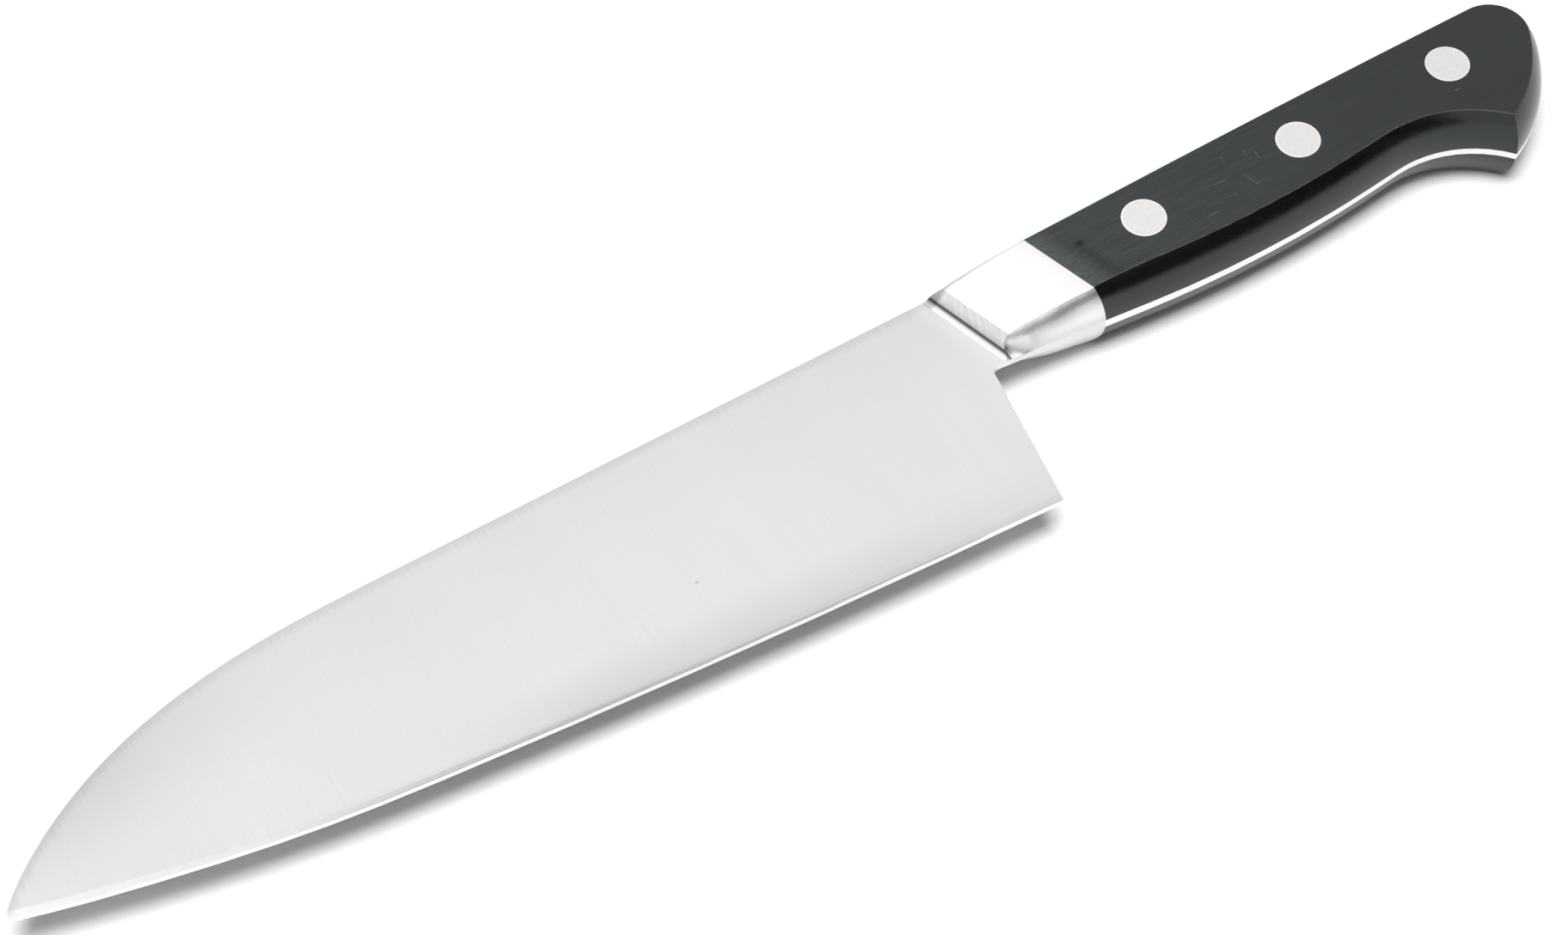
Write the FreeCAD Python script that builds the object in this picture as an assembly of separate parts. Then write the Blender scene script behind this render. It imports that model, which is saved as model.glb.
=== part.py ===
"""Santoku chef knife with a full-tang, three-rivet handle, lying on its right side.

Lengths are millimetres. While it is being shaped, the knife is in its drawing frame: the
origin is on the spine where the bolster meets the blade, +X runs to the butt, +Y to the
spine and +Z out of the left side, with Z = 0 in the middle of the steel. At the end every
piece is moved so that the origin is at the bottom centre of the knife's box.
"""
import FreeCAD
import Part

import math
import os

# Steel blank: blade and tang
TANG_THICKNESS = 1.9            # under the bolster; from the seam it tapers towards the butt
TANG_END_THICKNESS = 1.2
TANG_END_S = 125.0              # just past the butt
TANG_FRONT_THICKNESS = 1.2      # it starts inside the ground blade
TANG_FULL_S = 6.5               # and reaches its full thickness here
BLADE_TIP_X = -179.75
DISTAL_TAPER = 0.00187          # half-thickness lost per mm towards the tip
GRIND_TAPER = 0.0167            # half-thickness lost per mm from spine to edge
BLANK_OVERLAP = 8.0             # the blade's ground faces run this far under the bolster's spine
BLANK_OVERLAP_BELLY = 12.6      # and this far under its belly
EDGE_HALF_THICKNESS = 0.02
BEVEL_WIDTH_HEEL = 0.7
BEVEL_WIDTH_TIP = 1.9

# Handle outline at the middle of the steel, as tangent arcs
BELLY_LOW = (55.3, -21.55)      # lowest point of the belly
BELLY_RADIUS = 229.0
BELLY_FRONT_ANGLE = math.radians(-5.6)
BELLY_REAR_ANGLE = math.radians(6.2)
BELLY_RUN = 6.5                 # straight run from the belly to the throat
THROAT_RADIUS = 22.0            # hollow for the little finger
BUTT_CENTRE = (93.2, 3.1)
BUTT_RADIUS = 33.35
CORNER_RADIUS = 10.0            # from the butt round to the spine
SPINE_TOP = (114.8, 1.16)       # highest point of the handle's very slightly arched back
SPINE_RADIUS = 5600.0

# Handle section
HALF_HEIGHT = 8.3               # flat face above the middle of the steel
SEAM_HEIGHT = 7.74              # the same at the seam of bolster and scale
SIDE_RADIUS = 11.6              # rounding of the sides
BUTT_INSET_SHARE = 0.81         # the sides stand steeper at the butt
CORNER_INSET_SHARE = 1.0        # and lean more at the corner above it
SPINE_INSET_SHARE = 0.6         # the back is steeper too,
SPINE_BEND = 745.0              # and its ridge is more arched: radius lost per mm of inset
THROAT_SHIFT = 0.44             # the throat moves forward as it narrows, per mm of inset

RIDGE_FILLET = 0.25             # where the flat face meets the rounded sides
CUT_HEIGHT = 12.0               # cutting tools reach this far above the middle of the steel

# Bolster. s is measured along X from a slanted line through the drawing origin
SLANT = 0.3155                  # X gained per mm towards the belly
GRIND_FALL = GRIND_TAPER - DISTAL_TAPER * SLANT     # of the blade's ground face, along the slant
SEAM_S = 18.3
CROWN_FLAT_S = 31.5             # behind this the flat face is level
BOLSTER_TOP_S = 2.5             # top of the bolster's front face
BOLSTER_TOP_HEIGHT = 4.3
FOOT_S = -0.29                  # where the hollow foot of the front face runs out on the blade
FOOT_RADIUS = 1.37
FOOT_TURN = math.radians(68.2)
FRONT_BELLY_INSET = 3.0
FRONT_SPINE_INSET = 1.4
FRONT_BELLY_BULGE = -0.8        # belly side at the front: 1 is full round, under 0 hollow
SEAM_BULGE = 0.79               # both sides at the seam, as the scale's
BULGE_POWER = 6                 # how soon the hollow dies away behind the front
# Sections that shape it; from the first one it is cut back to the front face
BOLSTER_SECTIONS = (-0.5, 1.0, BOLSTER_TOP_S, 4.0, 6.0, 8.5, 11.5, 15.0, SEAM_S)
STEEL_LAP = 0.05                # how far a section starts inside the steel

# Two-piece rivets
RIVET_X = (38.8, 71.15, 103.5)
RIVET_Y = -9.15
HEAD_RADIUS = 4.0
HEAD_THICKNESS = 2.2
HEAD_RIM = 0.08                 # rounding of the head's rim
HEAD_BASE = HALF_HEIGHT - HEAD_THICKNESS
POST_END_GAP = 0.5              # from the end of the post to the head opposite
TUBE_RADIUS = 2.4
POST_RADIUS = 1.8
TANG_HOLE_RADIUS = 2.5


def vec(x, y, z=0.0):
    return FreeCAD.Vector(x, y, z)


def polar(centre, radius, angle):
    """Point of a circle, angle measured from straight down, towards +X."""
    return (centre[0] + radius * math.sin(angle), centre[1] - radius * math.cos(angle))


def line(start, end, z):
    return Part.LineSegment(vec(*start, z), vec(*end, z)).toShape()


def arc(start, middle, end, z):
    return Part.Arc(vec(*start, z), vec(*middle, z), vec(*end, z)).toShape()


def arc_about(centre, radius, start, end, z):
    """Arc between two points that lie on the circle, the short way round."""
    middle_x = (start[0] + end[0]) / 2 - centre[0]
    middle_y = (start[1] + end[1]) / 2 - centre[1]
    scale = radius / math.hypot(middle_x, middle_y)
    middle = (centre[0] + middle_x * scale, centre[1] + middle_y * scale)
    return arc(start, middle, end, z)


def far_side(centre, radius, inner):
    """Point of a circle where a smaller circle about inner touches it from inside."""
    dx = inner[0] - centre[0]
    dy = inner[1] - centre[1]
    stretch = radius / math.hypot(dx, dy)
    return (centre[0] + dx * stretch, centre[1] + dy * stretch)


def circle_meet(centre_a, radius_a, centre_b, radius_b):
    """Meeting point of two circles, the one on the right of the way from a to b."""
    dx = centre_b[0] - centre_a[0]
    dy = centre_b[1] - centre_a[1]
    gap = math.hypot(dx, dy)
    along = (radius_a ** 2 - radius_b ** 2 + gap ** 2) / (2 * gap)
    across = math.sqrt(radius_a ** 2 - along ** 2)
    ux = dx / gap
    uy = dy / gap
    return (centre_a[0] + along * ux + across * uy, centre_a[1] + along * uy - across * ux)


BELLY_CENTRE = (BELLY_LOW[0], BELLY_LOW[1] + BELLY_RADIUS)
THROAT_START = (
    polar(BELLY_CENTRE, BELLY_RADIUS, BELLY_REAR_ANGLE)[0] + BELLY_RUN * math.cos(BELLY_REAR_ANGLE),
    polar(BELLY_CENTRE, BELLY_RADIUS, BELLY_REAR_ANGLE)[1] + BELLY_RUN * math.sin(BELLY_REAR_ANGLE),
)
THROAT_CENTRE = polar(THROAT_START, THROAT_RADIUS, BELLY_REAR_ANGLE)


def belly_y(x):
    """Belly outline ahead of the belly arc, where it is straight."""
    start = polar(BELLY_CENTRE, BELLY_RADIUS, BELLY_FRONT_ANGLE)
    return start[1] + (x - start[0]) * math.tan(BELLY_FRONT_ANGLE)


def spine_arc(inset):
    """Centre and radius of the back's outline, moved inwards."""
    radius = SPINE_RADIUS - SPINE_BEND * inset
    return (SPINE_TOP[0], SPINE_TOP[1] - SPINE_INSET_SHARE * inset - radius), radius


def spine_y(x, inset=0.0):
    centre, radius = spine_arc(inset)
    return centre[1] + math.sqrt(radius ** 2 - (x - centre[0]) ** 2)


def handle_outline(inset, z):
    """Closed outline of the handle at one height, moved inwards by inset."""
    belly_radius = BELLY_RADIUS - inset
    throat_radius = THROAT_RADIUS + inset
    butt_radius = BUTT_RADIUS - BUTT_INSET_SHARE * inset
    corner_radius = CORNER_RADIUS - CORNER_INSET_SHARE * inset
    spine_centre, spine_radius = spine_arc(inset)
    throat_centre = (
        THROAT_CENTRE[0] - THROAT_SHIFT * inset * math.cos(BELLY_REAR_ANGLE),
        THROAT_CENTRE[1] - THROAT_SHIFT * inset * math.sin(BELLY_REAR_ANGLE),
    )
    corner_centre = circle_meet(
        spine_centre, spine_radius - corner_radius, BUTT_CENTRE, butt_radius - corner_radius)

    belly_start = polar(BELLY_CENTRE, belly_radius, BELLY_FRONT_ANGLE)
    belly_low = polar(BELLY_CENTRE, belly_radius, 0.0)
    belly_end = polar(BELLY_CENTRE, belly_radius, BELLY_REAR_ANGLE)
    front_belly = (0.0, belly_start[1] - belly_start[0] * math.tan(BELLY_FRONT_ANGLE))
    throat_start = polar(throat_centre, throat_radius, BELLY_REAR_ANGLE + math.pi)
    hook = circle_meet(throat_centre, throat_radius, BUTT_CENTRE, butt_radius)
    butt_end = far_side(BUTT_CENTRE, butt_radius, corner_centre)
    corner_end = far_side(spine_centre, spine_radius, corner_centre)
    front_spine = (0.0, spine_y(0.0, inset))
    edges = [
        line(front_belly, belly_start, z),
        arc(belly_start, belly_low, belly_end, z),
        line(belly_end, throat_start, z),
        arc_about(throat_centre, throat_radius, throat_start, hook, z),
        arc_about(BUTT_CENTRE, butt_radius, hook, butt_end, z),
        arc_about(corner_centre, corner_radius, butt_end, corner_end, z),
        arc_about(spine_centre, spine_radius, corner_end, front_spine, z),
        line(front_spine, front_belly, z),
    ]
    return Part.Wire(edges)


def side_inset(height):
    return SIDE_RADIUS - math.sqrt(SIDE_RADIUS ** 2 - height ** 2)


def crown(s):
    """Height of the handle's left face above the middle of the steel."""
    rise = HALF_HEIGHT - SEAM_HEIGHT
    seam_slope = 2 * rise / (CROWN_FLAT_S - SEAM_S)
    if s >= CROWN_FLAT_S:
        return HALF_HEIGHT
    if s >= SEAM_S:
        return HALF_HEIGHT - rise * ((CROWN_FLAT_S - s) / (CROWN_FLAT_S - SEAM_S)) ** 2
    ahead = SEAM_S - s
    run = SEAM_S - BOLSTER_TOP_S
    droop = (SEAM_HEIGHT - seam_slope * run - BOLSTER_TOP_HEIGHT) / run ** 2
    return SEAM_HEIGHT - seam_slope * ahead - droop * ahead ** 2


def blade_half_thickness(x, y):
    return TANG_THICKNESS / 2 + DISTAL_TAPER * (x - BLANK_OVERLAP) + GRIND_TAPER * y


def slanted_prism(profile, y_start, y_end, fall=0.0):
    """Solid of a closed (s, z) profile swept along the bolster's slant.

    A step of the profile is the next point, or, as (None, middle, end), an arc to it."""

    def place(point):
        return vec(point[0] - SLANT * y_start, y_start, point[1] + fall * y_start)

    edges = []
    here = profile[0]
    for step in profile[1:] + [profile[0]]:
        end = step[-1] if step[0] is None else step
        if step[0] is None:
            edges.append(Part.Arc(place(here), place(step[1]), place(end)).toShape())
        else:
            edges.append(Part.LineSegment(place(here), place(end)).toShape())
        here = end
    reach = y_end - y_start
    return Part.Face(Part.Wire(edges)).extrude(vec(-SLANT * reach, reach, fall * reach))


def behind(s_line):
    """Big block behind a slanted line."""
    corners = [(s_line, -CUT_HEIGHT), (200, -CUT_HEIGHT), (200, CUT_HEIGHT), (s_line, CUT_HEIGHT)]
    return slanted_prism(corners, 12, -40)


def tang_half_thickness(s):
    if s >= TANG_FULL_S:
        return TANG_THICKNESS / 2
    share = (TANG_FULL_S - s) / (TANG_FULL_S - BOLSTER_TOP_S)
    return (TANG_THICKNESS + (TANG_FRONT_THICKNESS - TANG_THICKNESS) * share) / 2


def tang_room(s_start):
    """All the space between the halves of the handle behind a slanted line."""
    upper = [(s, tang_half_thickness(s)) for s in (s_start, TANG_FULL_S, SEAM_S) if s >= s_start]
    upper.append((TANG_END_S, TANG_END_THICKNESS / 2))
    lower = [(s, -z) for s, z in reversed(upper)]
    return slanted_prism(upper + lower, 12, -40)


def blade_outline():
    """Spine, tip, a line outside the cutting edge, heel and choil notch."""
    spine_points = [
        (-104, 0), (-130, -0.92), (-149.4, -4.69), (-163.8, -10.7), (-174.2, -17.73), (-179.2, -22.7),
    ]
    spine = Part.BSplineCurve()
    spine.interpolate(
        [vec(x, y) for x, y in spine_points], InitialTangent=vec(-1, 0), FinalTangent=vec(-0.62, -0.78))
    front = (BLANK_OVERLAP, 0)
    tip_top = spine_points[-1]
    tip_low = (-178.7, -25.6)
    heel_low = (-1.83, -50.0)
    below_tip = (-178.0, heel_low[1])
    choil_start = (2.45, -19.5)
    choil_end = (4.1, -17.6)
    under_bolster = (BLANK_OVERLAP_BELLY, belly_y(BLANK_OVERLAP_BELLY))
    edges = [
        line(front, spine_points[0], 0),
        spine.toShape(),
        arc(tip_top, (BLADE_TIP_X, -24.2), tip_low, 0),
        line(tip_low, below_tip, 0),
        line(below_tip, heel_low, 0),
        line(heel_low, choil_start, 0),
        arc(choil_start, (2.85, -18.15), choil_end, 0),
        line(choil_end, under_bolster, 0),
        line(under_bolster, front, 0),
    ]
    return Part.Wire(edges)


def ground_blade():
    """Loft of the flat-ground section with its cutting bevel, from under the bolster to the tip."""
    edge_points = [
        (10, -46.7), (-1.3, -46.15), (-39.5, -43.95), (-76.2, -41.25), (-111.4, -38.05),
        (-144.8, -33.35), (-165.9, -28.75), (-178.6, -25.3), (-182, -24.2),
    ]
    sections = []
    for x, edge_y in edge_points:
        share = min(1.0, max(0.0, x / BLADE_TIP_X))
        shoulder_y = edge_y + BEVEL_WIDTH_HEEL + (BEVEL_WIDTH_TIP - BEVEL_WIDTH_HEEL) * share
        half = [
            (1.0, blade_half_thickness(x, 1.0)),
            (shoulder_y, blade_half_thickness(x, shoulder_y)),
            (edge_y, EDGE_HALF_THICKNESS),
        ]
        ring = half + [(y, -z) for y, z in reversed(half)]
        sections.append(Part.makePolygon([vec(x, y, z) for y, z in ring + ring[:1]]))
    return Part.makeLoft(sections, True, False)


def blade_and_tang():
    blank = Part.Face(blade_outline()).extrude(vec(0, 0, 2 * CUT_HEIGHT))
    blank.translate(vec(0, 0, -CUT_HEIGHT))
    blade = ground_blade().common(blank)
    tang = Part.Face(handle_outline(0.0, -TANG_THICKNESS)).extrude(vec(0, 0, 2 * TANG_THICKNESS))
    tang = tang.common(tang_room(BOLSTER_TOP_S))
    steel = blade.fuse(tang).removeSplitter()
    for x in RIVET_X:
        hole = Part.makeCylinder(TANG_HOLE_RADIUS, 2 * CUT_HEIGHT, vec(x, RIVET_Y, -CUT_HEIGHT))
        steel = steel.cut(hole)
    return steel


def bolster_section(s, height, belly_inset, spine_inset, belly_bulge, spine_bulge):
    """Section in a slanted plane: rounded sides and a flat top."""

    def place(y, z):
        return vec(s - SLANT * y, y, z)

    def base_height(y):
        if s >= TANG_FULL_S:
            return TANG_THICKNESS / 2 - STEEL_LAP
        blade = blade_half_thickness(s - SLANT * y, y)
        return max(blade, tang_half_thickness(s)) - STEEL_LAP

    def rounded(base_y, inset, inward, bulge):
        base = base_height(base_y)
        rise = height - base
        radius = (rise ** 2 + inset ** 2) / (2 * inset)
        half_turn = math.asin(rise / radius) / 2
        round_inset = radius * (1 - math.cos(half_turn))
        round_rise = radius * math.sin(half_turn)
        middle_inset = inset / 2 + (round_inset - inset / 2) * bulge
        middle_rise = rise / 2 + (round_rise - rise / 2) * bulge
        middle = place(base_y + inward * middle_inset, base + middle_rise)
        return Part.Arc(place(base_y, base), middle, place(base_y + inward * inset, height)).toShape()

    slope = math.tan(BELLY_FRONT_ANGLE)
    belly = (belly_y(0.0) + slope * s) / (1 + slope * SLANT)
    spine = spine_y(s)
    edges = [
        rounded(belly, belly_inset, 1, belly_bulge),
        Part.LineSegment(place(belly + belly_inset, height), place(spine - spine_inset, height)).toShape(),
        rounded(spine, spine_inset, -1, spine_bulge),
        Part.LineSegment(place(spine, base_height(spine)), place(belly, base_height(belly))).toShape(),
    ]
    return Part.Wire(Part.sortEdges(edges)[0])


def front_face_cutter():
    """Everything ahead of the bolster's sloping front and the hollow at its foot."""
    foot = blade_half_thickness(0.0, 0.0)
    half = FOOT_TURN / 2
    hollow_middle = (
        FOOT_S + FOOT_RADIUS * math.sin(half), foot + FOOT_RADIUS * (1 - math.cos(half)))
    hollow_end = (
        FOOT_S + FOOT_RADIUS * math.sin(FOOT_TURN), foot + FOOT_RADIUS * (1 - math.cos(FOOT_TURN)))
    run = (BOLSTER_TOP_S - hollow_end[0]) / (BOLSTER_TOP_HEIGHT - hollow_end[1])
    top_s = BOLSTER_TOP_S + (CUT_HEIGHT - BOLSTER_TOP_HEIGHT) * run
    profile = [
        (-8.0, -1.0), (FOOT_S, -1.0), (FOOT_S, foot), (None, hollow_middle, hollow_end),
        (top_s, CUT_HEIGHT), (-8.0, CUT_HEIGHT),
    ]
    return slanted_prism(profile, 3.0, -24.0, GRIND_FALL)


def soften_ridges(solid, lowest):
    """Small fillet along the curved edges higher than lowest, except those in the seam."""
    ridges = []
    for edge in solid.Edges:
        middle = edge.valueAt((edge.FirstParameter + edge.LastParameter) / 2)
        ends = [corner.Point for corner in edge.Vertexes]
        in_seam = all(abs(end.x + SLANT * end.y - SEAM_S) < 0.01 for end in ends)
        if middle.z > lowest and isinstance(edge.Curve, Part.BSplineCurve) and not in_seam:
            ridges.append(edge)
    return solid.makeFillet(RIDGE_FILLET, ridges)


def steel_room():
    """The room that the ground blade and the flat tang take up under a bolster half."""
    front_z = blade_half_thickness(-8.0, 0.0)
    rear_z = blade_half_thickness(TANG_FULL_S, 0.0)
    blade = [(-8.0, -1.0), (-8.0, front_z), (TANG_FULL_S, rear_z), (TANG_FULL_S, -1.0)]
    return slanted_prism(blade, 3.0, -24.0, GRIND_FALL), tang_room(BOLSTER_TOP_S)


def bolster():
    """Left half: lofted along its length, cut back at the front and hollowed for the steel."""
    sections = []
    belly_seam = side_inset(SEAM_HEIGHT)
    spine_seam = spine_y(SEAM_S) - spine_y(SEAM_S, belly_seam)
    for s in BOLSTER_SECTIONS:
        shape_s = max(s, BOLSTER_TOP_S)
        share = (SEAM_S - shape_s) / (SEAM_S - BOLSTER_TOP_S)
        belly_inset = belly_seam + (FRONT_BELLY_INSET - belly_seam) * share
        spine_inset = spine_seam + (FRONT_SPINE_INSET - spine_seam) * share
        belly_bulge = SEAM_BULGE + (FRONT_BELLY_BULGE - SEAM_BULGE) * share ** BULGE_POWER
        sections.append(bolster_section(
            s, crown(shape_s), belly_inset, spine_inset, belly_bulge, SEAM_BULGE))
    body = Part.makeLoft(sections, True, False)
    body = body.cut(front_face_cutter())
    for room in steel_room():
        body = body.cut(room)
    return soften_ridges(body, BOLSTER_TOP_HEIGHT - 0.3)


def crown_cutter():
    """Everything above the flat face, with its slight fall towards the seam."""
    start_s = SEAM_S - 1.0
    middle_s = (start_s + CROWN_FLAT_S) / 2
    start = (start_s, 2 * crown(SEAM_S) - crown(SEAM_S + 1.0))
    fall = (None, (middle_s, crown(middle_s)), (CROWN_FLAT_S, HALF_HEIGHT))
    profile = [(start_s, CUT_HEIGHT), start, fall, (200, HALF_HEIGHT), (200, CUT_HEIGHT)]
    return slanted_prism(profile, 12, -40)


def scale():
    lowest = math.asin((TANG_END_THICKNESS / 2 - 0.1) / SIDE_RADIUS)
    highest = math.asin((HALF_HEIGHT + 0.1) / SIDE_RADIUS)
    levels = []
    for step in range(5):
        turn = lowest + (highest - lowest) * step / 4
        levels.append(handle_outline(SIDE_RADIUS * (1 - math.cos(turn)), SIDE_RADIUS * math.sin(turn)))
    body = Part.makeLoft(levels, True, False)
    body = body.common(behind(SEAM_S)).cut(crown_cutter()).cut(tang_room(SEAM_S - 1.0))
    body = soften_ridges(body, SEAM_HEIGHT - 0.1)
    for x in RIVET_X:
        body = body.cut(Part.makeCylinder(TUBE_RADIUS, CUT_HEIGHT, vec(x, RIVET_Y, 0)))
        body = body.cut(Part.makeCylinder(HEAD_RADIUS, CUT_HEIGHT, vec(x, RIVET_Y, HEAD_BASE)))
    return body


def rivet_head(x):
    """Flat head of the left half of a rivet, with a rounded rim."""
    head = Part.makeCylinder(HEAD_RADIUS, HEAD_THICKNESS, vec(x, RIVET_Y, HEAD_BASE))
    rim = [edge for edge in head.Edges if edge.CenterOfMass.z > HALF_HEIGHT - HEAD_RIM]
    return head.makeFillet(HEAD_RIM, rim)


def rivet_post(x):
    """Left half of a rivet: flat head and solid post."""
    length = 2 * HEAD_BASE - POST_END_GAP
    return rivet_head(x).fuse(Part.makeCylinder(POST_RADIUS, length, vec(x, RIVET_Y, HEAD_BASE - length)))


def rivet_socket(x):
    """Right half of a rivet: flat head and the tube that grips the post."""
    length = 2 * HEAD_BASE - POST_END_GAP
    tube = Part.makeCylinder(TUBE_RADIUS, length, vec(x, RIVET_Y, -HEAD_BASE))
    bore = Part.makeCylinder(POST_RADIUS, length, vec(x, RIVET_Y, -HEAD_BASE))
    return mirrored(rivet_head(x)).fuse(tube).cut(bore)


def mirrored(solid):
    return solid.mirror(vec(0, 0, 0), vec(0, 0, 1))


def build():
    steel = blade_and_tang()
    left_bolster = bolster()
    left_scale = scale()
    pieces = {
        "blade_and_tang": steel,
        "bolster_left": left_bolster,
        "bolster_right": mirrored(left_bolster),
        "scale_left": left_scale,
        "scale_right": mirrored(left_scale),
    }
    for name, x in zip(("front", "middle", "rear"), RIVET_X):
        pieces[name + "_rivet_post"] = rivet_post(x)
        pieces[name + "_rivet_socket"] = rivet_socket(x)
    return pieces


def main():
    os.makedirs("parts", exist_ok=True)
    pieces = build()
    box = Part.makeCompound(list(pieces.values())).optimalBoundingBox(False, False)
    to_origin = vec(-(box.XMin + box.XMax) / 2, -(box.YMin + box.YMax) / 2, -box.ZMin)
    for name, solid in pieces.items():
        solid.translate(to_origin)
        print(name, solid.isValid(), len(solid.Solids), round(solid.Volume, 1), len(solid.Faces))
        solid.exportStep("parts/" + name + ".step")
    print("moved by", to_origin, "size", box.XLength, box.YLength, box.ZLength)


main()
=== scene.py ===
"""Studio picture of the chef knife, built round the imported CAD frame.

Lengths are metres in the frame of the part: +X from tip to butt, +Y from edge to spine,
+Z up. Every piece of the knife keeps its CAD mesh and gets a procedural finish here.
Finishes are laid out in millimetres from the knife's drawing origin, which is on the spine
where the bolster meets the blade, half way through the steel.
"""
import math

import bpy
from mathutils import Matrix, Vector


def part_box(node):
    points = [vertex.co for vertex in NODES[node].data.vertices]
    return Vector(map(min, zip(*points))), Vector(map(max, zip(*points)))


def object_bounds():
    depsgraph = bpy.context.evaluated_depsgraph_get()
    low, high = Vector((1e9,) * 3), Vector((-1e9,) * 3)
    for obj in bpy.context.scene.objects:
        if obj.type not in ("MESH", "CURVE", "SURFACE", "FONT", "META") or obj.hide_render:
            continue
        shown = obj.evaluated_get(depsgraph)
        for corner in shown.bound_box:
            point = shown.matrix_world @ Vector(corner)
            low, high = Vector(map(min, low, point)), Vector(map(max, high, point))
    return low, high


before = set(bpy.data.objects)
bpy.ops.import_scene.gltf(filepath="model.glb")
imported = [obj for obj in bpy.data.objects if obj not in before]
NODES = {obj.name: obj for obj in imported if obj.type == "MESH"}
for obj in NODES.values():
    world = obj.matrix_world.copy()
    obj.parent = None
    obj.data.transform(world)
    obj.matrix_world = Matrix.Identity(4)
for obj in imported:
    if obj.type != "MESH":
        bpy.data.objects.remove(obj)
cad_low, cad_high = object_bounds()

MM = 0.001

# Camera: where it stands round the knife, and its lens
CAMERA_AZIMUTH = math.radians(27.44)        # it looks from the tip side, round from -Y
CAMERA_ELEVATION = math.radians(57.31)
CAMERA_ROLL = math.radians(3.57)
CAMERA_LENS = 67.1                          # mm
CAMERA_SENSOR = 36.0                        # mm wide
CAMERA_CLIP = 0.01
CAMERA_PLACE = Vector((-0.13003, -0.22660, 0.41772))

# The knife's drawing, in mm. A place's s is its x plus SLANT times its y, so that s is the
# same all along a line that leans as the bolster's front and rear do.
RIVETS = {"front": 38.8, "middle": 71.15, "rear": 103.5}    # x of each rivet's axis
RIVET_Y = -9.15
HEAD_RADIUS = 4.0
HALF_HEIGHT = 8.3
SLANT = 0.3155
FOOT_LINE_S = 0.36                          # fine line in the bolster's hollow foot
CREASE_S = 0.98                             # where the sloping front rises from the foot
SEAM_S = 18.3                               # the bolster's rear, where the scales start
RIDGE = (9.7, 5.0, 0.27, 0.005)             # the bolster's belly ridge: x, z, slope and bend
SPINE_BEND_X = -104.0                       # where the spine starts to fall towards the tip
SPINE_DROP = (0.001279, 4.837e-7)           # its fall, by square and fourth power of the way on
EDGE_HALF_THICKNESS = 0.02
EDGE_CURVE = (2.2156e-08, 4.1749e-06, 0.00044035, -0.045572, -46.214)   # the edge's y, from x

# Marks on the surfaces, in the drawing
BLADE_SPOT = (-60.67, -27.8)                # a tiny stain on the blade's face
DIMPLE = (26.38, -7.77)                     # a pin-hole in the handle
HANDLE_SCRATCHES = [
    ((61.66, -6.06), (61.36, -7.56)),
    ((58.74, -10.4), (59.46, -13.43)),
    ((59.55, -13.3), (61.35, -13.32)),
    ((53.2, -9.71), (55.21, -9.86)),
    ((63.26, -7.44), (62.96, -8.93)),
    ((57.48, -5.32), (57.45, -6.24)),
    ((53.87, -13.26), (55.16, -13.33)),
    ((100.85, -14.8), (101.83, -14.76)),
    ((48.0, -14.9), (50.2, -14.7)),
]
SCRATCH_WIDTH = 0.26

# Depths of the finest relief, in metres
BLADE_RELIEF = 0.0000004
BOLSTER_RELIEF = 0.000004
RIVET_RELIEF = 0.000004
HANDLE_RELIEF = 0.00001

# Base colours
BLADE_COLOUR = (0.785, 0.777, 0.774, 1.0)
BOLSTER_COLOUR = (0.93, 0.93, 0.925, 1.0)
RIVET_COLOUR = (0.86, 0.86, 0.855, 1.0)
FLOOR_COLOUR = (0.86, 0.865, 0.87, 1.0)
WHITE = (1.0, 1.0, 1.0, 1.0)
WOOD_DARK = (0.002, 0.0023, 0.0024, 1.0)
WOOD_LIGHT = (0.0075, 0.0083, 0.0084, 1.0)
WOOD_FRONT_SHEEN = (0.024, 0.026, 0.0262, 1.0)    # lighter grain towards the bolster, a painted sheen
WOOD_SIDE = (0.001, 0.0011, 0.0011, 1.0)
WOOD_RUBBED = (0.055, 0.059, 0.06, 1.0)
WOOD_RIDGE_HIGHLIGHT = (0.14, 0.145, 0.145, 1.0)      # painted highlight along the belly ridge
WOOD_MARK = (0.16, 0.165, 0.165, 1.0)
WOOD_DUST = (0.22, 0.22, 0.215, 1.0)
# A stain on the flat, and painted shade in the pin-hole.
WOOD_STAIN_AND_HOLE_SHADE = (0.0012, 0.0013, 0.0013, 1.0)
WOOD_GLOSS_TINT = (0.93, 1.0, 1.0, 1.0)

FLOOR_SIZE = 3.0                            # from its middle to its side


def add_camera():
    azimuth, elevation = CAMERA_AZIMUTH, CAMERA_ELEVATION
    forward = Vector((
        math.sin(azimuth) * math.cos(elevation),
        math.cos(azimuth) * math.cos(elevation),
        -math.sin(elevation),
    ))
    level_right = Vector((math.cos(azimuth), -math.sin(azimuth), 0.0))
    level_down = forward.cross(level_right)
    right = math.cos(CAMERA_ROLL) * level_right + math.sin(CAMERA_ROLL) * level_down
    down = -math.sin(CAMERA_ROLL) * level_right + math.cos(CAMERA_ROLL) * level_down
    turn = Matrix((right, -down, -forward)).transposed()
    camera = bpy.data.objects.new("camera", bpy.data.cameras.new("camera"))
    camera.data.lens = CAMERA_LENS
    camera.data.sensor_width = CAMERA_SENSOR
    camera.data.clip_start = CAMERA_CLIP
    camera.matrix_world = Matrix.Translation(CAMERA_PLACE) @ turn.to_4x4()
    bpy.context.scene.collection.objects.link(camera)
    bpy.context.scene.camera = camera


def drawing_origin():
    """Where the drawing's origin is in the frame, from the head of the front rivet."""
    low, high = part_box("front_rivet_post")
    middle = (Vector(low) + Vector(high)) / 2
    return Vector((
        middle.x - RIVETS["front"] * MM,
        middle.y - RIVET_Y * MM,
        high[2] - HALF_HEIGHT * MM,
    ))


ORIGIN = drawing_origin()


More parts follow.
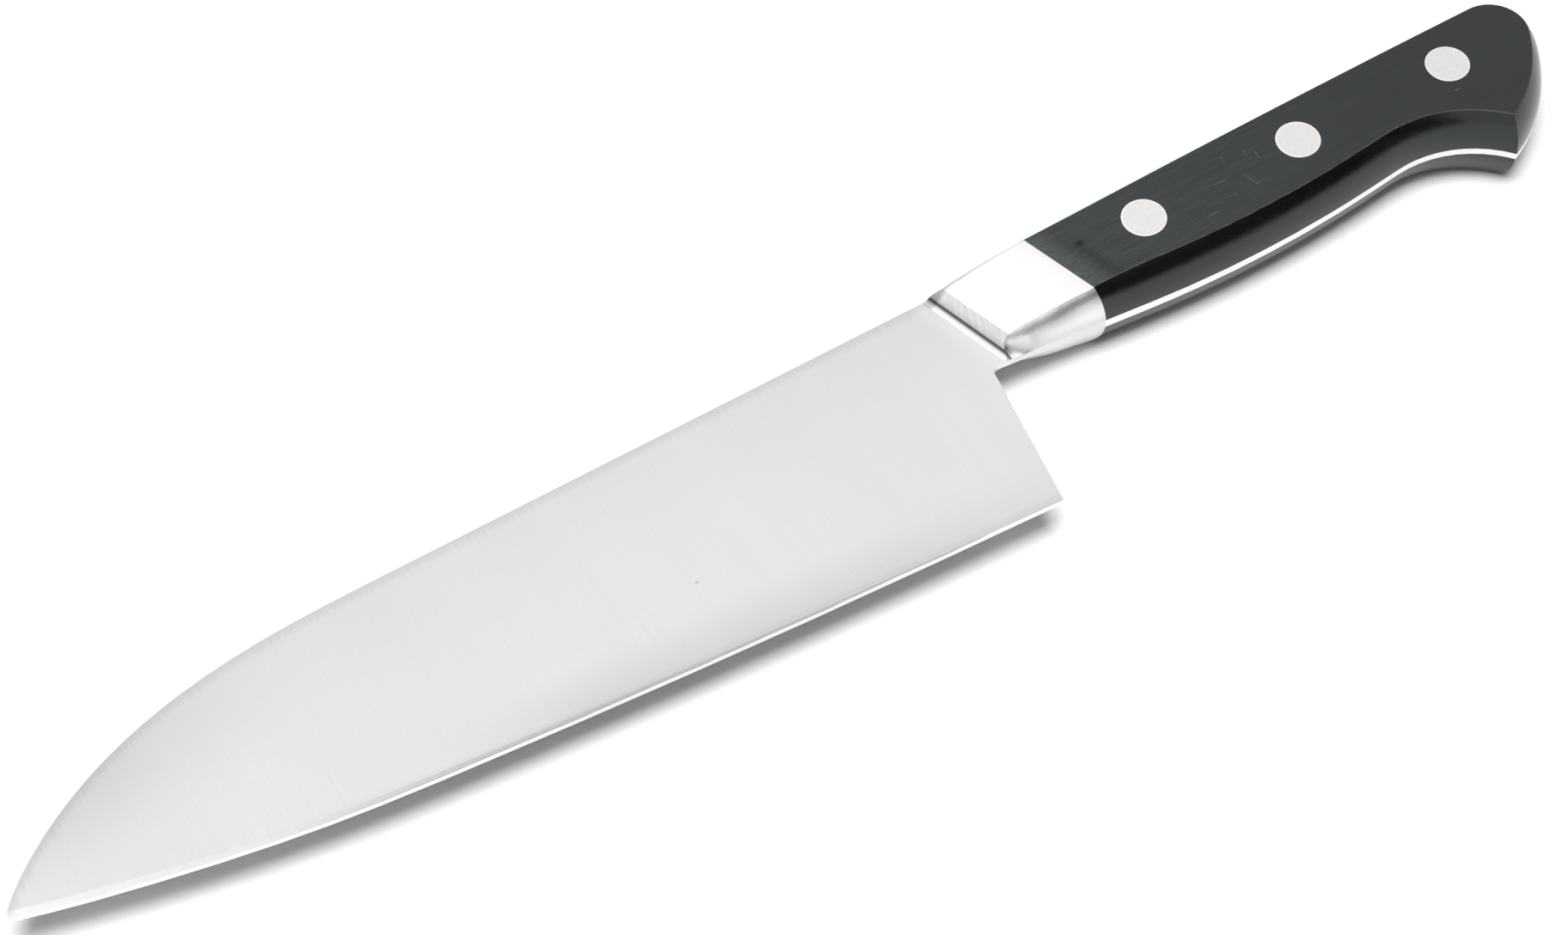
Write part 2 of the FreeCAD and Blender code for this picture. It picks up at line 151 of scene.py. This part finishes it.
class Graph:
    """Short way to build a node tree."""

    def __init__(self, tree):
        self.tree = tree

    def node(self, kind, inputs=None, **settings):
        made = self.tree.nodes.new(kind)
        for name, value in settings.items():
            setattr(made, name, value)
        for name, value in (inputs or {}).items():
            self.put(value, made.inputs[name])
        return made

    def put(self, value, socket):
        if isinstance(value, bpy.types.NodeSocket):
            self.tree.links.new(value, socket)
        else:
            socket.default_value = value

    def math(self, operation, first, second=0.0):
        made = self.tree.nodes.new("ShaderNodeMath")
        made.operation = operation
        self.put(first, made.inputs[0])
        self.put(second, made.inputs[1])
        return made.outputs[0]

    def vector_math(self, operation, first, second=None, scale=None):
        inputs = {0: first}
        if second is not None:
            inputs[1] = second
        if scale is not None:
            inputs["Scale"] = scale
        made = self.node("ShaderNodeVectorMath", inputs, operation=operation)
        gives_number = operation in ("LENGTH", "DISTANCE", "DOT_PRODUCT")
        return made.outputs["Value" if gives_number else "Vector"]

    def add(self, first, *others):
        for other in others:
            first = self.math("ADD", first, other)
        return first

    def less(self, first, *others):
        for other in others:
            first = self.math("SUBTRACT", first, other)
        return first

    def times(self, first, *others):
        for other in others:
            first = self.math("MULTIPLY", first, other)
        return first

    def greatest(self, first, second):
        return self.math("MAXIMUM", first, second)

    def left(self, share):
        """What a share leaves of 1."""
        return self.less(1.0, share)

    def ramp(self, value, low, high, to_low=0.0, to_high=1.0, smooth=True):
        made = self.node("ShaderNodeMapRange", {
            "Value": value, "From Min": low, "From Max": high, "To Min": to_low, "To Max": to_high,
        })
        made.interpolation_type = "SMOOTHSTEP" if smooth else "LINEAR"
        return made.outputs["Result"]

    def line(self, value, low, high, to_low, to_high):
        return self.ramp(value, low, high, to_low, to_high, smooth=False)

    def from_noise(self, noise, least, most):
        """A noise's usual span, 0.3 to 0.7, turned into this one."""
        return self.line(noise, 0.3, 0.7, least, most)

    def hump(self, value, start, full, end_full, end):
        """1 between full and end_full, 0 outside start and end."""
        return self.times(self.ramp(value, start, full), self.ramp(value, end, end_full))

    def stretch(self, vector, scale):
        return self.node("ShaderNodeMapping", {"Vector": vector, "Scale": scale}).outputs["Vector"]

    def turned(self, vector, angle):
        made = self.node("ShaderNodeVectorRotate", {"Vector": vector, "Angle": angle})
        made.rotation_type = "Z_AXIS"
        return made.outputs["Vector"]

    def vector(self, x, y, z=0.0):
        return self.node("ShaderNodeCombineXYZ", {"X": x, "Y": y, "Z": z}).outputs["Vector"]

    def noise(self, vector, detail, roughness, scale=1.0, distortion=0.0):
        made = self.node("ShaderNodeTexNoise", {
            "Vector": vector, "Scale": scale, "Detail": detail, "Roughness": roughness,
            "Distortion": distortion,
        })
        return made.outputs["Fac"]

    def grain(self, vector, scale, detail, roughness):
        """Noise with its own scale along each axis."""
        return self.noise(self.stretch(vector, scale), detail, roughness)

    def dots(self, vector, spacing, radius, share):
        """Small round specks, about one in a cell, in this share of the cells."""
        cells = self.node("ShaderNodeTexVoronoi", {"Vector": vector, "Scale": 1.0 / spacing})
        split = self.node("ShaderNodeSeparateColor", {"Color": cells.outputs["Color"]})
        near = self.ramp(cells.outputs["Distance"], radius / spacing, 0.4 * radius / spacing)
        return self.times(near, self.math("LESS_THAN", split.outputs["Red"], share))

    def mix(self, factor, first, second, blend="MIX"):
        made = self.tree.nodes.new("ShaderNodeMix")
        made.data_type = "RGBA"
        made.blend_type = blend
        self.put(factor, made.inputs[0])
        self.put(first, made.inputs[6])
        self.put(second, made.inputs[7])
        return made.outputs[2]

    def tinted(self, colour, tone):
        """A colour made lighter or darker by a tone near 1."""
        grey = self.node("ShaderNodeCombineColor", {"Red": tone, "Green": tone, "Blue": tone})
        return self.mix(1.0, colour, grey.outputs["Color"], "MULTIPLY")

    def bump(self, height, distance):
        inputs = {"Height": height, "Distance": distance, "Strength": 1.0}
        return self.node("ShaderNodeBump", inputs).outputs["Normal"]

    def segment(self, place, start, end, width):
        """1 on the line between two points of the flat face, fading over its half width."""
        start, end = Vector((*start, 0.0)), Vector((*end, 0.0))
        along = end - start
        flat = self.vector_math("MULTIPLY", place, (1.0, 1.0, 0.0))
        away = self.vector_math("SUBTRACT", flat, start)
        reach = self.vector_math("DOT_PRODUCT", away, along)
        share = self.math("DIVIDE", reach, along.length_squared)
        share = self.math("MINIMUM", self.greatest(share, 0.0), 1.0)
        step = self.vector_math("SCALE", along, scale=share)
        gap = self.vector_math("DISTANCE", away, step)
        return self.ramp(gap, width / 2, 0.0)


class Finish:
    """A new material with the coordinates of the drawing at hand."""

    def __init__(self, name):
        self.material = bpy.data.materials.new(name)
        self.material.use_nodes = True
        self.graph = Graph(self.material.node_tree)
        self.shader = self.material.node_tree.nodes["Principled BSDF"]
        metres = self.graph.node("ShaderNodeTexCoord").outputs["Object"]
        self.place = self.graph.node("ShaderNodeMapping", {
            "Vector": metres, "Location": -ORIGIN / MM, "Scale": (1 / MM, 1 / MM, 1 / MM),
        }).outputs["Vector"]
        self.x, self.y, self.z = self.parts(self.place)
        self.s = self.graph.add(self.x, self.graph.times(self.y, SLANT))
        facing = self.graph.node("ShaderNodeNewGeometry").outputs["True Normal"]
        self.facing_x, self.facing_y, self.facing_z = self.parts(facing)
        self.upright = self.graph.math("ABSOLUTE", self.facing_z)

    def parts(self, vector):
        split = self.graph.node("ShaderNodeSeparateXYZ", {"Vector": vector})
        return [split.outputs[axis] for axis in "XYZ"]

    def set(self, **values):
        """Sets the shader's sockets; an underscore stands for a space in a socket's name."""
        for name, value in values.items():
            self.graph.put(value, self.shader.inputs[name.replace("_", " ")])

    def on(self, *names):
        for name in names:
            mesh = NODES[name].data
            mesh.materials.clear()
            mesh.materials.append(self.material)


def scratches(finish, angle, fine=9.0, broad=1.6):
    """Fine scratches of a belt, along a direction turned by an angle from +Y."""
    graph = finish.graph
    lines = graph.turned(finish.place, angle)
    hair = graph.grain(lines, (fine, 0.09, 0.3), 3.0, 0.6)
    band = graph.grain(lines, (broad, 0.022, 0.06), 3.0, 0.6)
    return graph.add(graph.times(hair, 0.6), graph.times(band, 0.4))


def edge_distance(finish):
    """How far above the cutting edge a place on the blade is."""
    graph = finish.graph
    edge = EDGE_CURVE[0]
    for factor in EDGE_CURVE[1:]:
        edge = graph.add(graph.times(finish.x, edge), factor)
    return graph.less(finish.y, edge)


def spine_distance(finish):
    """How far below the spine a place on the blade is."""
    graph = finish.graph
    past = graph.greatest(graph.less(SPINE_BEND_X, finish.x), 0.0)
    square = graph.times(past, past)
    drop = graph.times(square, graph.add(SPINE_DROP[0], graph.times(square, SPINE_DROP[1])))
    return graph.times(graph.add(finish.y, drop), -1.0)


def blade_shade(finish, streaks, above):
    """Painted light and shade on the blade's face, and a tiny stain, as a tone near 1."""
    graph = finish.graph
    # Painted light: the face a little lighter towards the edge than at the spine.
    middle = graph.times(graph.ramp(finish.y, 0.0, -22.0), 0.045)
    # Painted shade: darker near the tip, towards the spine.
    near_tip = graph.ramp(finish.x, -120.0, -180.0)
    towards_tip = graph.times(near_tip, graph.ramp(finish.y, -26.0, -6.0), 0.19)
    # Painted shade: a broad darker band above the edge, from the heel to past the middle.
    edge_half = graph.hump(finish.x, -115.0, -82.0, -50.0, 30.0)
    near_edge_shade = graph.times(graph.ramp(above, 11.0, 1.0), edge_half, 0.14)
    # Painted glow on the blade just ahead of the bolster's foot.
    foot_glow = graph.times(graph.hump(finish.s, -4.0, -0.4, 0.5, 1.0), 0.09)
    spot_end = (BLADE_SPOT[0] + 0.1, BLADE_SPOT[1])
    spot = graph.times(graph.segment(finish.place, BLADE_SPOT, spot_end, 0.9), 0.3)
    # Painted shade along the spine, with a ragged lower side.
    frayed = graph.add(spine_distance(finish), graph.times(graph.less(streaks, 0.5), 4.0))
    spine_side_shade = graph.times(graph.ramp(frayed, 2.4, 0.2), 0.12)
    shade = graph.less(graph.add(0.985, middle), towards_tip, near_edge_shade, spot)
    return graph.less(graph.add(shade, foot_glow), spine_side_shade)


def edge_parts(finish, above):
    """The fine line at the cutting edge, with its polish and a painted highlight, and how much
    painted shade darkens the ground above it.
    """
    graph = finish.graph
    tilted = graph.ramp(finish.upright, 0.9995, 0.999)
    bevel = graph.times(tilted, graph.ramp(finish.upright, 0.9, 0.93))
    slope = graph.math("SQRT", graph.left(graph.times(finish.upright, finish.upright)))
    height = graph.less(graph.math("ABSOLUTE", finish.z), EDGE_HALF_THICKNESS)
    climb = graph.math("DIVIDE", height, graph.greatest(slope, 0.005))
    # The polish at the edge: lower roughness, and a painted highlight in the colour.
    polish_and_highlight = graph.times(bevel, graph.ramp(climb, 0.62, 0.5))
    # Painted shade: a thin dark line at the bevel's top, the bevel darker, and a darker strip above
    # the shoulder.
    dark_line = graph.times(bevel, graph.hump(climb, 0.5, 0.66, 0.7, 0.9), 0.12)
    shoulder = graph.times(graph.ramp(above, 2.6, 1.2), graph.left(bevel), 0.08)
    darker = graph.add(shoulder, graph.add(graph.times(bevel, 0.26), dark_line))
    away_from_tip = graph.ramp(finish.x, -150.0, -105.0)
    return polish_and_highlight, graph.times(darker, away_from_tip, graph.left(polish_and_highlight))


def blade_steel():
    """Satin blade ground across its length, with painted light and shade, a painted highlight on the
    fine edge line, and the satin tang.
    """
    finish = Finish("blade_satin")
    graph = finish.graph
    face = graph.ramp(finish.upright, 0.3, 0.6)
    streaks = scratches(finish, -0.02)
    streaks = graph.add(0.5, graph.times(graph.less(streaks, 0.5), face))
    cloud = graph.grain(finish.place, (0.05, 0.02, 0.05), 2.0, 0.5)
    above = edge_distance(finish)
    tone = graph.times(
        graph.from_noise(streaks, 0.97, 1.03),
        graph.from_noise(cloud, 0.985, 1.015),
        blade_shade(finish, streaks, above),
    )
    polish_and_highlight, darker = edge_parts(finish, above)
    # Painted shade on and above the bevel, and the painted highlight on the edge's polish.
    tone = graph.add(graph.times(tone, graph.left(darker)), graph.times(polish_and_highlight, 0.3))
    tang_edge = graph.line(finish.s, SEAM_S - 0.2, SEAM_S + 0.2, -0.2, 0.0)
    tone = graph.add(tone, graph.times(graph.left(face), tang_edge))
    rough = graph.from_noise(streaks, 0.265, 0.335)
    finish.set(
        Base_Color=graph.tinted(BLADE_COLOUR, tone),
        Metallic=1.0,
        Roughness=graph.less(rough, graph.times(polish_and_highlight, 0.12)),
        Anisotropic=0.55,
        Tangent=graph.vector(1.0, 0.06),
        Normal=graph.bump(streaks, BLADE_RELIEF),
    )
    finish.on("blade_and_tang")


def bolster_front(finish):
    """The sloping front: where it is, its fine lines with a cross hatch, and their tone, with
    painted shade towards the crease.
    """
    graph = finish.graph
    slope = graph.ramp(finish.facing_x, -0.5, -0.62)
    front = graph.times(slope, graph.ramp(finish.s, CREASE_S - 0.3, CREASE_S))
    lean = math.atan(SLANT)
    lines = scratches(finish, lean, 14.0, 4.0)
    hatch = graph.grain(graph.turned(finish.place, lean), (0.7, 5.0, 3.0), 3.0, 0.65)
    face = graph.add(graph.times(lines, 0.66), graph.times(hatch, 0.34))
    contrast = graph.line(face, 0.36, 0.62, 0.72, 1.06)
    # Painted shade: the front darker close to the crease.
    near_crease = graph.ramp(finish.s, CREASE_S, CREASE_S + 1.0, 0.74, 1.0)
    return front, face, graph.times(contrast, near_crease)


def bolster_foot(finish):
    """Painted shade in the crease, and the fine line in the foot: how much of the tone they leave.
    """
    graph = finish.graph
    low = graph.ramp(finish.z, 3.0, 2.2)
    # Painted shade in the crease, low on the foot.
    crease = graph.hump(
        finish.s, CREASE_S - 0.55, CREASE_S - 0.08, CREASE_S + 0.02, CREASE_S + 0.22)
    line = graph.hump(
        finish.s, FOOT_LINE_S - 0.1, FOOT_LINE_S - 0.02, FOOT_LINE_S + 0.02, FOOT_LINE_S + 0.1)
    crease_left = graph.left(graph.times(crease, low, 0.8))
    return graph.times(crease_left, graph.left(graph.times(line, low, 0.35)))


def bolster_sides(finish, front):
    """Painted shade on the belly side, and a painted dark line along the spine side: how much of the
    tone they leave.
    """
    graph = finish.graph
    side = graph.times(graph.ramp(finish.facing_y, -0.35, -0.6), graph.left(front))
    start, height, slope, bend = RIDGE
    run = graph.less(finish.x, start)
    ridge = graph.add(height, graph.times(run, graph.less(slope, graph.times(run, bend))))
    # Painted reflection: a dark band under the ridge, its edges ragged.
    ragged = graph.grain(finish.place, (0.5, 3.5, 3.5), 4.0, 0.75)
    below = graph.add(graph.less(ridge, finish.z), graph.times(graph.less(ragged, 0.5), 1.4))
    band = graph.times(graph.hump(below, 0.05, 0.75, 1.0, 1.9), 0.42)
    # Painted shade: darker low down on the side.
    low = graph.ramp(finish.z, 3.6, 1.2, 0.1, 0.3)
    # Painted shade dimming the upward-facing hollow low at the front corner.
    rises = graph.ramp(finish.facing_z, 0.5, 0.7)
    toe_shade = graph.times(rises, graph.ramp(finish.z, 2.6, 1.8), 0.22)
    side_left = graph.left(graph.times(side, graph.add(band, toe_shade, low)))
    # Painted shade: a thin dark line along the spine-side edge of the top.
    spine_side_shade = graph.times(graph.ramp(finish.y, -2.4, -1.4), graph.left(side), 0.45)
    return graph.times(side_left, graph.left(spine_side_shade))


def bolster_steel():
    """Satin bolster: brushed along the handle, its front along the face and a little across."""
    finish = Finish("bolster_satin")
    graph = finish.graph
    front, face, face_tone = bolster_front(finish)
    lengthwise = scratches(finish, math.radians(90.0), 8.0, 1.5)
    elsewhere = graph.left(front)
    streaks = graph.add(graph.times(lengthwise, elsewhere), graph.times(face, front))
    tone = graph.times(graph.from_noise(streaks, 0.965, 1.035), elsewhere)
    tone = graph.add(tone, graph.times(face_tone, front))
    speckle = graph.noise(finish.place, 4.0, 0.7, scale=3.2)
    # Painted shade in the crease and on the sides, and a fine random speckle.
    tone = graph.times(
        tone,
        bolster_foot(finish),
        bolster_sides(finish, front),
        graph.from_noise(speckle, 0.975, 1.025),
    )
    finish.set(
        Base_Color=graph.tinted(BOLSTER_COLOUR, tone),
        Metallic=1.0,
        Roughness=graph.from_noise(streaks, 0.30, 0.38),
        Anisotropic=0.6,
        Tangent=graph.vector(0.0, 1.0),
        Normal=graph.bump(streaks, BOLSTER_RELIEF),
    )
    finish.on("bolster_left", "bolster_right")


def rivet_steel(name, x):
    """Satin head with faint swirls, and a rim with lower roughness and a painted highlight."""
    finish = Finish(name + "_rivet_satin")
    graph = finish.graph
    swirl = graph.noise(finish.place, 3.0, 0.55, scale=0.55, distortion=2.0)
    grain = graph.noise(finish.place, 4.0, 0.7, scale=5.0)
    swirl_tone = graph.ramp(swirl, 0.3, 0.7, 0.975, 1.03)
    grain_tone = graph.ramp(grain, 0.3, 0.7, 0.97, 1.03)
    away = graph.vector(graph.less(finish.x, x), graph.less(finish.y, RIVET_Y))
    radius = graph.vector_math("LENGTH", away)
    # The rim: lower roughness, and a painted highlight in its colour.
    rim = graph.ramp(radius, HEAD_RADIUS - 0.42, HEAD_RADIUS - 0.24)
    tone = graph.add(graph.times(swirl_tone, grain_tone), graph.times(rim, 0.12))
    rough = graph.ramp(grain, 0.3, 0.7, 0.27, 0.35)
    relief = graph.add(grain, graph.times(swirl, 0.6))
    finish.set(
        Base_Color=graph.tinted(RIVET_COLOUR, tone),
        Metallic=1.0,
        Roughness=graph.less(rough, graph.times(rim, 0.1)),
        Normal=graph.bump(relief, RIVET_RELIEF),
    )
    finish.on(name + "_rivet_post", name + "_rivet_socket")


def handle_marks(finish, pores):
    """Short scratches on the flat of the handle, broken up by the pores."""
    graph = finish.graph
    marks = 0.0
    for start, end in HANDLE_SCRATCHES:
        marks = graph.greatest(marks, graph.segment(finish.place, start, end, SCRATCH_WIDTH))
    return graph.times(marks, graph.ramp(pores, 0.35, 0.6))


def handle_dust(finish):
    graph = finish.graph
    large = graph.dots(finish.place, 6.0, 0.15, 0.35)
    small = graph.dots(graph.stretch(finish.place, (0.8, 1.3, 1.3)), 2.7, 0.08, 0.2)
    return graph.greatest(large, small)


def handle_black():
    """Black resin-impregnated wood: fine lengthwise grain, rubbed behind the bolster; a painted
    highlight on the belly ridge, painted sheen near the bolster and painted shade in the pin-hole.
    """
    finish = Finish("black_laminated_wood")
    graph = finish.graph
    hair = graph.grain(finish.place, (0.16, 6.5, 6.5), 4.0, 0.68)
    fibre = graph.grain(finish.place, (0.05, 1.6, 1.6), 3.0, 0.6)
    pores = graph.grain(finish.place, (1.1, 9.0, 9.0), 2.0, 0.6)
    cloud = graph.grain(finish.place, (0.03, 0.09, 0.09), 3.0, 0.6)
    fine = graph.add(graph.times(fibre, 0.3), graph.times(pores, 0.2))
    grain = graph.add(graph.times(hair, 0.5), fine)
    flat = graph.ramp(finish.upright, 0.985, 0.996)
    side = graph.left(graph.ramp(finish.upright, 0.8, 0.95))

    fuzz = graph.grain(finish.place, (0.8, 2.4, 2.4), 4.0, 0.75)
    reach = graph.add(graph.less(finish.s, SEAM_S), graph.times(graph.less(fuzz, 0.5), 5.0))
    rubbed = graph.times(graph.ramp(reach, 4.6, 1.0), graph.ramp(finish.y, 0.5, -4.0), flat)
    near_belly = graph.ramp(finish.y, -4.0, -10.0)
    streak = graph.times(graph.hump(reach, 3.8, 4.7, 5.4, 7.2), near_belly, flat)
    # The pin-hole: rougher and dented, and darker as painted shade in the hole.
    dimple_end = (DIMPLE[0] + 0.3, DIMPLE[1] - 0.1)
    dimple = graph.segment(finish.place, DIMPLE, dimple_end, 2.2)
    # Painted highlight along the belly ridge.
    ridge = graph.times(
        graph.hump(finish.upright, 0.80, 0.86, 0.96, 0.99),
        graph.ramp(finish.y, -9.0, -11.0),
        graph.ramp(finish.x, 121.0, 60.0, 0.35, 1.0),
    )
    marks = graph.times(handle_marks(finish, pores), flat)
    # Painted sheen: the flat lighter towards the bolster.
    front_half = graph.ramp(finish.x, 100.0, 25.0)

    colour = graph.mix(graph.line(grain, 0.36, 0.64, 0.0, 1.0), WOOD_DARK, WOOD_LIGHT)
    for share, layer in (
        (graph.times(front_half, flat, graph.ramp(grain, 0.35, 0.65)), WOOD_FRONT_SHEEN),
        (graph.times(side, 0.7), WOOD_SIDE),
        (graph.times(rubbed, graph.ramp(fuzz, 0.3, 0.65, 0.1, 0.9)), WOOD_RUBBED),
        (graph.times(ridge, 0.8), WOOD_RIDGE_HIGHLIGHT),
        (graph.times(marks, 0.55), WOOD_MARK),
        (graph.times(handle_dust(finish), 0.7), WOOD_DUST),
        (graph.greatest(graph.times(streak, 0.7), dimple), WOOD_STAIN_AND_HOLE_SHADE),
    ):
        colour = graph.mix(share, colour, layer)

    rough = graph.line(grain, 0.35, 0.65, 0.26, 0.38)
    rough = graph.add(rough, graph.ramp(cloud, 0.3, 0.7, -0.03, 0.03))
    rough = graph.less(rough, graph.times(graph.left(flat), 0.12))
    rough = graph.add(rough, graph.times(graph.greatest(rubbed, streak), 0.08))
    finish.set(
        Base_Color=colour,
        Roughness=graph.add(rough, graph.times(dimple, 0.45)),
        Specular_IOR_Level=0.58,
        Specular_Tint=WOOD_GLOSS_TINT,
        Normal=graph.bump(graph.less(grain, graph.times(dimple, 3.0)), HANDLE_RELIEF),
    )
    finish.on("scale_left", "scale_right")


def floor():
    size = FLOOR_SIZE
    mesh = bpy.data.meshes.new("floor")
    corners = [(-size, -size, 0), (size, -size, 0), (size, size, 0), (-size, size, 0)]
    mesh.from_pydata(corners, [], [(0, 1, 2, 3)])
    plane = bpy.data.objects.new("floor", mesh)
    plane.location.z = cad_low[2]
    bpy.context.scene.collection.objects.link(plane)
    material = bpy.data.materials.new("white_sweep")
    material.use_nodes = True
    shader = material.node_tree.nodes["Principled BSDF"]
    shader.inputs["Base Color"].default_value = FLOOR_COLOUR
    shader.inputs["Roughness"].default_value = 0.9
    shader.inputs["Specular IOR Level"].default_value = 0.2
    mesh.materials.append(material)


def softbox(name, place, aim, width, depth, radiance, reflected=True):
    """Rectangular lamp that looks at a point; one that is not reflected only lights matt things."""
    data = bpy.data.lights.new(name, "AREA")
    data.shape = "RECTANGLE"
    data.size = width
    data.size_y = depth
    data.energy = radiance * math.pi * width * depth
    lamp = bpy.data.objects.new(name, data)
    place = Vector(place)
    turn = (place - Vector(aim)).to_track_quat("Z", "Y")
    lamp.matrix_world = Matrix.Translation(place) @ turn.to_matrix().to_4x4()
    lamp.visible_glossy = reflected
    bpy.context.scene.collection.objects.link(lamp)


def tent(world):
    """White surroundings, dark low down on the -Y side, that light matt surfaces less."""
    world.use_nodes = True
    graph = Graph(world.node_tree)
    way = graph.node("ShaderNodeTexCoord").outputs["Generated"]
    split = graph.node("ShaderNodeSeparateXYZ", {"Vector": way})
    x, y, z = (split.outputs[axis] for axis in "XYZ")
    front = graph.ramp(y, -0.45, -0.75)
    low = graph.ramp(graph.less(z, graph.times(x, 0.8)), 0.42, 0.24)
    right = graph.ramp(x, -0.5, 0.05)
    level = graph.line(graph.times(front, low, right), 0.0, 1.0, 1.0, 0.02)
    level = graph.times(level, graph.ramp(x, 0.36, 0.54, 1.0, 0.8))
    matt = graph.node("ShaderNodeLightPath").outputs["Is Diffuse Ray"]
    level = graph.times(level, graph.line(matt, 0.0, 1.0, 1.0, 0.2))
    background = world.node_tree.nodes["Background"]
    background.inputs["Color"].default_value = WHITE
    graph.put(level, background.inputs["Strength"])


def studio():
    """The white tent, a panel that shows in the steel, and a lamp for the floor."""
    world = bpy.data.worlds.new("studio")
    tent(world)
    bpy.context.scene.world = world
    softbox("panel", (-0.25, -0.2, 1.0), (-0.12, 0.0, 0.0), 0.9, 0.8, 1.0)
    softbox("floor_fill", (0.0, -0.06, 1.2), (0.0, 0.0, 0.0), 0.85, 0.6, 11.0, reflected=False)


add_camera()
blade_steel()
bolster_steel()
handle_black()
for rivet_name, rivet_x in RIVETS.items():
    rivet_steel(rivet_name, rivet_x)
floor()
studio()
bpy.context.scene.view_settings.view_transform = "Standard"
